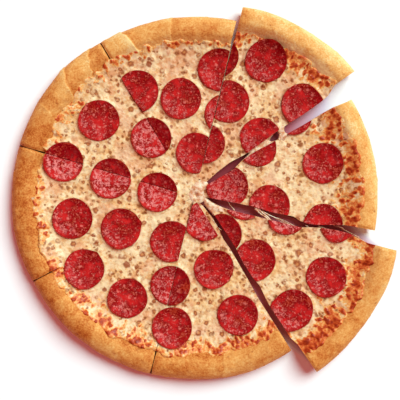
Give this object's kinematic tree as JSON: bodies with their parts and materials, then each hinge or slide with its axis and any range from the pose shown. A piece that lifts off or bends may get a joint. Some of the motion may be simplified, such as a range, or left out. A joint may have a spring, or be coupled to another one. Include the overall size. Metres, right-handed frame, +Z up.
{
  "type": "pepperoni pizza",
  "caption": "Round pepperoni pizza cut into wedge slices, some drawn slightly apart, with a raised baked rim, a cheese layer and pepperoni rounds cut through by the slicing.",
  "frame": {"origin": "centre of the bounding box's bottom face, on the surface that the pizza lies on, close to where the cuts meet", "axes": "+Z up, the pizza's top; +Y towards the picture's upper edge; +X towards the picture's right edge, where the drawn-out slices are"},
  "size_m": [0.3788, 0.3662, 0.0238],
  "materials": {
    "crust": null,
    "cheese": null,
    "pepperoni": null
  },
  "bodies": {
    "root": {"cheese_e": "cheese", "cheese_n": "cheese", "cheese_ne": "cheese", "cheese_nw": "cheese", "cheese_s": "cheese", "cheese_se": "cheese", "cheese_sw": "cheese", "cheese_w": "cheese", "crust_e": "crust", "crust_n": "crust", "crust_ne": "crust", "crust_nw": "crust", "crust_s": "crust", "crust_se": "crust", "crust_sw": "crust", "crust_w": "crust", "pepperoni_e_1": "pepperoni", "pepperoni_e_2": "pepperoni", "pepperoni_e_3": "pepperoni", "pepperoni_e_4": "pepperoni", "pepperoni_e_5": "pepperoni", "pepperoni_e_6": "pepperoni", "pepperoni_n_1": "pepperoni", "pepperoni_n_2": "pepperoni", "pepperoni_n_3": "pepperoni", "pepperoni_n_4": "pepperoni", "pepperoni_n_5": "pepperoni", "pepperoni_n_6": "pepperoni", "pepperoni_ne_1": "pepperoni", "pepperoni_ne_2": "pepperoni", "pepperoni_ne_3": "pepperoni", "pepperoni_ne_4": "pepperoni", "pepperoni_ne_5": "pepperoni", "pepperoni_ne_6": "pepperoni", "pepperoni_nw_1": "pepperoni", "pepperoni_nw_2": "pepperoni", "pepperoni_nw_3": "pepperoni", "pepperoni_nw_4": "pepperoni", "pepperoni_nw_5": "pepperoni", "pepperoni_s_1": "pepperoni", "pepperoni_s_2": "pepperoni", "pepperoni_s_3": "pepperoni", "pepperoni_s_4": "pepperoni", "pepperoni_s_5": "pepperoni", "pepperoni_se_1": "pepperoni", "pepperoni_se_2": "pepperoni", "pepperoni_se_3": "pepperoni", "pepperoni_se_4": "pepperoni", "pepperoni_se_5": "pepperoni", "pepperoni_se_6": "pepperoni", "pepperoni_se_7": "pepperoni", "pepperoni_sw_1": "pepperoni", "pepperoni_sw_2": "pepperoni", "pepperoni_sw_3": "pepperoni", "pepperoni_w_1": "pepperoni", "pepperoni_w_2": "pepperoni", "pepperoni_w_3": "pepperoni", "pepperoni_w_4": "pepperoni", "pepperoni_w_5": "pepperoni", "pepperoni_w_6": "pepperoni"}
  },
  "joints": []
}
